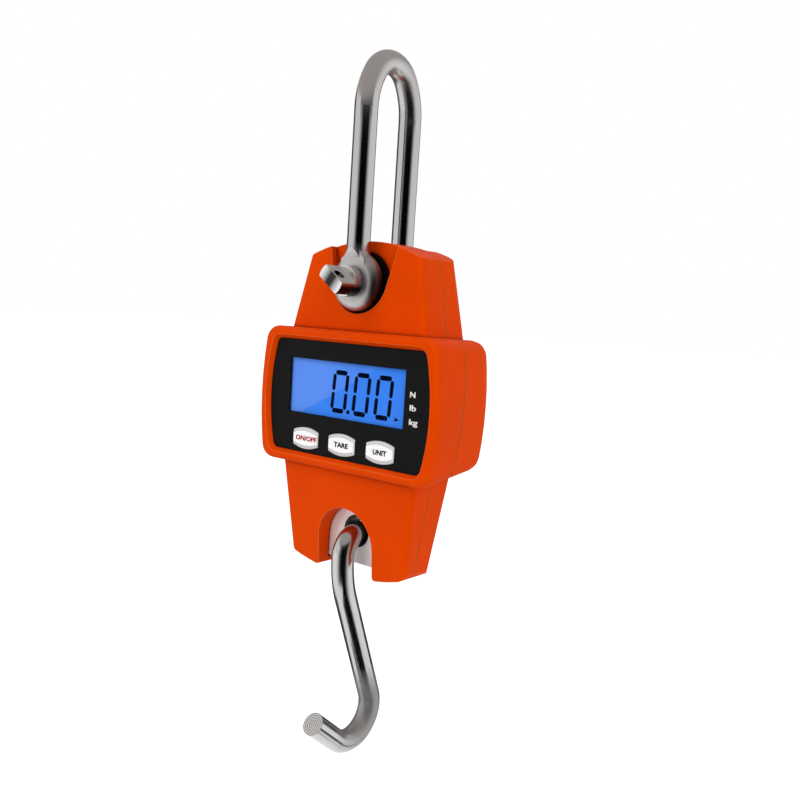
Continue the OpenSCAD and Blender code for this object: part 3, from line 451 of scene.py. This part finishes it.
def turned_end(node, towards, across=None):
    """Gives the flat end of a node its own steel, with a painted sheen in its colour: a painted highlight that
    brightens to both ends of a direction, if given, and light and dark rings otherwise.
    """
    mesh = nodes[node].data
    levels = {}
    for f in mesh.polygons:
        if f.normal.dot(towards) > SAME_WAY:
            levels.setdefault(round(f.center.dot(towards) / MM, 1), []).append(f)
    faces = max(levels.values(), key=lambda level: sum(f.area for f in level))
    points = [mesh.vertices[i].co for f in faces for i in f.vertices]
    centre = Vector([(min(p[k] for p in points) + max(p[k] for p in points)) / 2 for k in range(3)])
    end = Mat("turned_" + node, lin(194, 192, 190), 0.28, metal=0.6)
    end.vary_rough(300, 0.24, 0.34)
    spot = end.vector("SUBTRACT", end.place(), centre)
    rings = end.calc("SINE", end.calc("MULTIPLY", end.vector("LENGTH", spot), 2 * math.pi / RING_PITCH))
    end.relief(rings, RING_STRENGTH, RING_DEPTH)
    if across is not None:
        share = end.calc("ABSOLUTE", end.vector("DOT_PRODUCT", spot, across / PIN_END_HALF))
        painted_sheen = end.ramp(share, lin(30, 30, 30), lin(226, 225, 224), 0.22, 0.92)
    else:
        share = end.calc("MULTIPLY_ADD", rings, 0.5, 0.5)
        painted_sheen = end.ramp(share, lin(142, 140, 138), lin(212, 211, 210), 0.2, 0.8)
    end.use(painted_sheen, "Base Color")
    indices = {f.index for f in faces}
    dress(node, end, lambda f: f.index in indices)


TIP_SLOPE = math.radians(39.7)
turned_end("hook", Vector((0.0, -math.cos(TIP_SLOPE), math.sin(TIP_SLOPE))))
PIN_HOLE = Vector(MOUNTS["pin_eye"]["axis"])
# The pin's end has a painted bow-tie highlight: bright at both ends and dark across the middle
turned_end("shackle_pin", Vector((0.0, -1.0, 0.0)), Vector((PIN_HOLE.z, 0.0, -PIN_HOLE.x)))


# Marks on the display, the panel and the keys, in millimetres
LCD_X, LCD_Z = LCD.x / MM, LCD.z / MM
GLASS_Y = front("lcd_glass") / MM
SEGMENT_FRONT, SEGMENT_BACK = GLASS_Y - 0.03, GLASS_Y - 0.01
PRINT_THICK = 0.02
BAR_STEPS = 6


def piece(name, mesh, look, body):
    obj = add_object(name, mesh)
    mesh.materials.clear()
    mesh.materials.append(look.m)
    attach(obj, body)


def plate(bm, outline):
    """A dark plate on the display: X and Z of its outline are measured from the display's middle."""
    places = [(LCD_X + x, LCD_Z + z) for x, z in outline]
    front_ring = [bm.verts.new((x * MM, SEGMENT_FRONT * MM, z * MM)) for x, z in places]
    back_ring = [bm.verts.new((x * MM, SEGMENT_BACK * MM, z * MM)) for x, z in places]
    n = len(outline)
    bm.faces.new(front_ring)
    bm.faces.new(back_ring[::-1])
    for i in range(n):
        bm.faces.new((front_ring[i], back_ring[i], back_ring[(i + 1) % n], front_ring[(i + 1) % n]))


def bar(a, b, width):
    """Outline of a bar with round ends between two points."""
    ang = math.atan2(b[1] - a[1], b[0] - a[0])
    r = width / 2
    out = []
    for centre, start in ((b, ang - math.pi / 2), (a, ang + math.pi / 2)):
        for i in range(BAR_STEPS + 1):
            t = start + math.pi * i / BAR_STEPS
            out.append((centre[0] + r * math.cos(t), centre[1] + r * math.sin(t)))
    return out


def digit(bm, x, segments):
    """One seven-segment digit: x is the middle of its top bar."""
    lean = 0.072
    high, low, half = 6.1, -7.1, 2.95
    level, upright = 1.65, 1.45
    inset, near, gap = 1.15, 1.3, 1.0
    mid = (high + low) / 2

    def at(u, z):
        return (x + u + lean * (z - high), z)

    places = {
        "a": (at(inset - half, high), at(half - inset, high), level),
        "g": (at(inset - half, mid), at(half - inset, mid), level),
        "d": (at(inset - half, low), at(half - inset, low), level),
        "f": (at(-half, high - near), at(-half, mid + gap), upright),
        "b": (at(half, high - near), at(half, mid + gap), upright),
        "e": (at(-half, mid - gap), at(-half, low + near), upright),
        "c": (at(half, mid - gap), at(half, low + near), upright),
    }
    for s in segments:
        plate(bm, bar(*places[s]))


ZERO = "abcdef"
DIGITS_X = (-2.43, 7.5, 17.3)
POINT = ((0.6, -7.75), (2.0, -7.75), (2.1, -6.45), (0.7, -6.45))
POINTER = ((21.5, -7.75), (24.0, -6.98), (21.5, -6.2), (22.2, -6.98))
bm = bmesh.new()
for x in DIGITS_X:
    digit(bm, x, ZERO)
plate(bm, POINT)
plate(bm, POINTER)
bmesh.ops.recalc_face_normals(bm, faces=bm.faces)
piece("lcd_segments", mesh_of("lcd_segments", bm), segment, "case")


def words(name, text, at, width, height, look, body, bold):
    """Printed letters that face the front, centred on a point, with the given width and height."""
    curve = bpy.data.curves.new(name, "FONT")
    curve.body = text
    curve.size = 1.0
    curve.offset = bold
    curve.resolution_u = 6
    tmp = add_object(name + "_tmp", curve)
    bpy.context.view_layer.update()
    deps = bpy.context.evaluated_depsgraph_get()
    mesh = bpy.data.meshes.new_from_object(tmp.evaluated_get(deps))
    bpy.data.objects.remove(tmp)
    mesh.name = name
    xs = [v.co.x for v in mesh.vertices]
    ys = [v.co.y for v in mesh.vertices]
    sx, cx = width / (max(xs) - min(xs)), (max(xs) + min(xs)) / 2
    sy, cy = height / (max(ys) - min(ys)), (max(ys) + min(ys)) / 2
    x, y, z = at
    b = bmesh.new()
    b.from_mesh(mesh)
    for v in b.verts:
        v.co = Vector((x + (v.co.x - cx) * sx, y, z + (v.co.y - cy) * sy)) * MM
    grown = bmesh.ops.extrude_face_region(b, geom=list(b.faces))
    for v in [g for g in grown["geom"] if isinstance(g, bmesh.types.BMVert)]:
        v.co.y -= PRINT_THICK * MM
    bmesh.ops.recalc_face_normals(b, faces=b.faces)
    b.to_mesh(mesh)
    b.free()
    piece(name, mesh, look, body)


# Each unit is placed from the display's middle, and each key's word from the middle of its key
UNITS = (("n", "N", 29.7, 2.0, 2.2, 1.9), ("lb", "lb", 30.05, -2.26, 2.6, 1.95),
         ("kg", "kg", 30.6, -7.1, 3.5, 2.5))
UNIT_BOLD, KEY_BOLD, KEY_LETTER = 0.03, 0.045, 1.8
PANEL_Y = front("display_panel") / MM
for tag, text, x, z, width, height in UNITS:
    at = (LCD_X + x, PANEL_Y, LCD_Z + z)
    words("unit_" + tag, text, at, width, height, letter_white, "case", UNIT_BOLD)
KEY_WORDS = (("on_off", "ON/OFF", 0.65, 10.2, letter_red), ("tare", "TARE", 0.19, 6.5, letter_black),
             ("unit", "UNIT", 0.33, 5.9, letter_black))
for tag, text, shift, width, ink in KEY_WORDS:
    key = middle(tag + "_button") / MM
    at = (key.x + shift, front(tag + "_button") / MM, key.z)
    words("mark_" + tag, text, at, width, KEY_LETTER, ink, tag + "_key", KEY_BOLD)


# Studio: a white floor far below, a white room, cards that only mirrors show, and soft lamps
FLOOR_Z, FLOOR_HALF, FLOOR_LIFT = -0.75, 30, 0.40
ROOM_LIGHT, ROOM_WHITE = 0.58, 1.0
SCREEN_STEPS = 24


def shown_rays(tree):
    """One where a ray comes from the camera, a mirror or glass, and zero where it only carries light."""
    path = tree.nodes.new("ShaderNodeLightPath")
    last = path.outputs["Is Camera Ray"]
    for kind in ("Is Glossy Ray", "Is Transmission Ray"):
        top = tree.nodes.new("ShaderNodeMath")
        top.operation = "MAXIMUM"
        tree.links.new(last, top.inputs[0])
        tree.links.new(path.outputs[kind], top.inputs[1])
        last = top.outputs[0]
    return last


def white_floor():
    """Paper that takes the object's shadow, and is lifted to white where it is seen."""
    bm = bmesh.new()
    for x, y in ((-1, -1), (1, -1), (1, 1), (-1, 1)):
        bm.verts.new((x * FLOOR_HALF, y * FLOOR_HALF, FLOOR_Z))
    bm.faces.new(bm.verts)
    floor = add_object("floor", mesh_of("floor", bm))
    paper = Mat("paper", grey(0.85), 0.9, spec=0.0)
    fill = paper.node("ShaderNodeEmission")
    fill.inputs["Color"].default_value = grey(1.0)
    paper.link(paper.calc("MULTIPLY", shown_rays(paper.t), FLOOR_LIFT), fill.inputs["Strength"])
    both = paper.node("ShaderNodeAddShader")
    paper.link(paper.b.outputs["BSDF"], both.inputs[0])
    paper.link(fill.outputs["Emission"], both.inputs[1])
    out = next(n for n in paper.t.nodes if n.type == "OUTPUT_MATERIAL")
    paper.link(both.outputs[0], out.inputs["Surface"])
    floor.data.materials.append(paper.m)


def white_room():
    """A world that looks white, and lights the object at a plain level."""
    world = bpy.data.worlds.new("studio")
    scene.world = world
    world.use_nodes = True
    t = world.node_tree
    t.nodes.clear()
    room = t.nodes.new("ShaderNodeMixShader")
    t.links.new(shown_rays(t), room.inputs["Fac"])
    for strength, socket in ((ROOM_LIGHT, room.inputs[1]), (ROOM_WHITE, room.inputs[2])):
        sky = t.nodes.new("ShaderNodeBackground")
        sky.inputs["Color"].default_value = grey(1.0)
        sky.inputs["Strength"].default_value = strength
        t.links.new(sky.outputs[0], socket)
    out = t.nodes.new("ShaderNodeOutputWorld")
    t.links.new(room.outputs[0], out.inputs["Surface"])


def card(name, quads, tone):
    """A card of plain tone that only mirrors show: it gives polished rods their dark core and grey crown."""
    bm = bmesh.new()
    for quad in quads:
        bm.faces.new([bm.verts.new(point) for point in quad])
    obj = add_object(name, mesh_of(name, bm))
    cloth = bpy.data.materials.new(name)
    cloth.use_nodes = True
    t = cloth.node_tree
    t.nodes.clear()
    glow = t.nodes.new("ShaderNodeEmission")
    glow.inputs["Color"].default_value = tone
    out = t.nodes.new("ShaderNodeOutputMaterial")
    t.links.new(glow.outputs[0], out.inputs["Surface"])
    obj.data.materials.append(cloth)
    obj.visible_camera = False
    obj.visible_diffuse = False
    obj.visible_shadow = False
    obj.visible_transmission = False


def curved(azimuth, half_span, radius, low, high):
    """Quads of an upright screen that is curved round the object."""
    painted_highlight_amount = []
    for i in range(SCREEN_STEPS + 1):
        a = azimuth + half_span * (2 * i / SCREEN_STEPS - 1)
        painted_highlight_amount.append((radius * math.sin(a), -radius * math.cos(a)))
    return [((*a, low), (*b, low), (*b, high), (*a, high)) for a, b in zip(painted_highlight_amount, painted_highlight_amount[1:])]


def flat(azimuth, near, distant, half_width, z):
    """One level quad that lies along a direction from the object."""
    out = Vector((math.sin(azimuth), -math.cos(azimuth), 0))
    side = Vector((math.cos(azimuth), math.sin(azimuth), 0)) * half_width
    up = Vector((0, 0, z))
    return [(near * out - side + up, near * out + side + up,
             distant * out + side + up, distant * out - side + up)]


def lamp(name, towards_light, strength, angle=40):
    """A soft lamp far away, in the given direction from the object."""
    data = bpy.data.lights.new(name, "SUN")
    data.energy = strength
    data.angle = math.radians(angle)
    obj = add_object(name, data)
    obj.rotation_euler = Vector(towards_light).to_track_quat("Z", "Y").to_euler()
    obj.visible_glossy = False


white_floor()
white_room()

# In front hangs a black screen that fades to white at both sides, and to grey at its top
BLACK = grey(0.001)
FRONT, FRONT_R, FRONT_LOW, FRONT_TOP = AZ + math.radians(5), 0.6, -0.62, 0.115
SIDES = ((26, 0.05), (31, 0.18), (36, 0.33), (41, 0.52), (46, 0.70), (51, 0.85), (56, 0.95), (62, 1.0))
SKY = ((FRONT_TOP, 0.03), (0.125, 0.07), (0.135, 0.13), (0.145, 0.20), (0.16, 0.28),
       (0.18, 0.37), (0.21, 0.45), (0.25, 0.50), (0.40, 0.50))
SKY_SPAN, SKY_WARMTH = math.radians(60), (1.0, 0.96, 0.94)
card("front_screen", curved(FRONT, math.radians(SIDES[0][0]), FRONT_R, FRONT_LOW, FRONT_TOP), BLACK)
for i, ((near, tone), (distant, _)) in enumerate(zip(SIDES, SIDES[1:])):
    half = math.radians(distant - near) / 2
    for tag, turn in (("left", -1), ("right", 1)):
        azimuth = FRONT + turn * math.radians(near + distant) / 2
        strip = curved(azimuth, half, FRONT_R, FRONT_LOW, FRONT_TOP)
        card("front_%s_%d" % (tag, i), strip, grey(tone))
for i, ((low, tone), (high, _)) in enumerate(zip(SKY, SKY[1:])):
    strip = curved(FRONT, SKY_SPAN, FRONT_R, low, high)
    card("front_sky_%d" % i, strip, (*(tone * c for c in SKY_WARMTH), 1.0))

# Behind hang darker screens for the edges of the rods, and cloths on the floor do the same for the hook
REAR_R, REAR_LOW, REAR_MIDDLE, REAR_TOP = 0.9, -0.74, -0.15, 0.30
CLOTH_Z, CLOTH_STEP = FLOOR_Z + 0.01, 0.002
CEILING, CEILING_Z, CEILING_HALF = (0.52, 0.49, 0.47, 1.0), SKY[-1][0], 0.9
for name, turn, half_span, low, high, tone in (("rear_screen", 193, 50, REAR_MIDDLE, REAR_TOP, 0.10),
                                               ("rear_cloth", 180, 60, REAR_LOW, REAR_MIDDLE, 0.06)):
    screen = curved(AZ + math.radians(turn), math.radians(half_span), REAR_R, low, high)
    card(name, screen, grey(tone))
card("floor_cloth", flat(math.radians(66), 0.18, 0.8, 0.34, CLOTH_Z), BLACK)
card("left_cloth", flat(math.radians(-95), 0.45, 0.95, 0.3, CLOTH_Z), grey(0.06))
card("tip_cloth", flat(math.radians(133), 0.58, 0.92, 0.16, CLOTH_Z + CLOTH_STEP), grey(0.02))
card("ceiling", flat(AZ, -CEILING_HALF, CEILING_HALF, CEILING_HALF, CEILING_Z), CEILING)
lamp("key_lamp", (-0.35, -0.8, 0.75), 0.9)
lamp("side_lamp", (0.9, -0.35, 0.45), 0.85)
lamp("rear_lamp", (-0.3, 0.8, 0.6), 0.6)
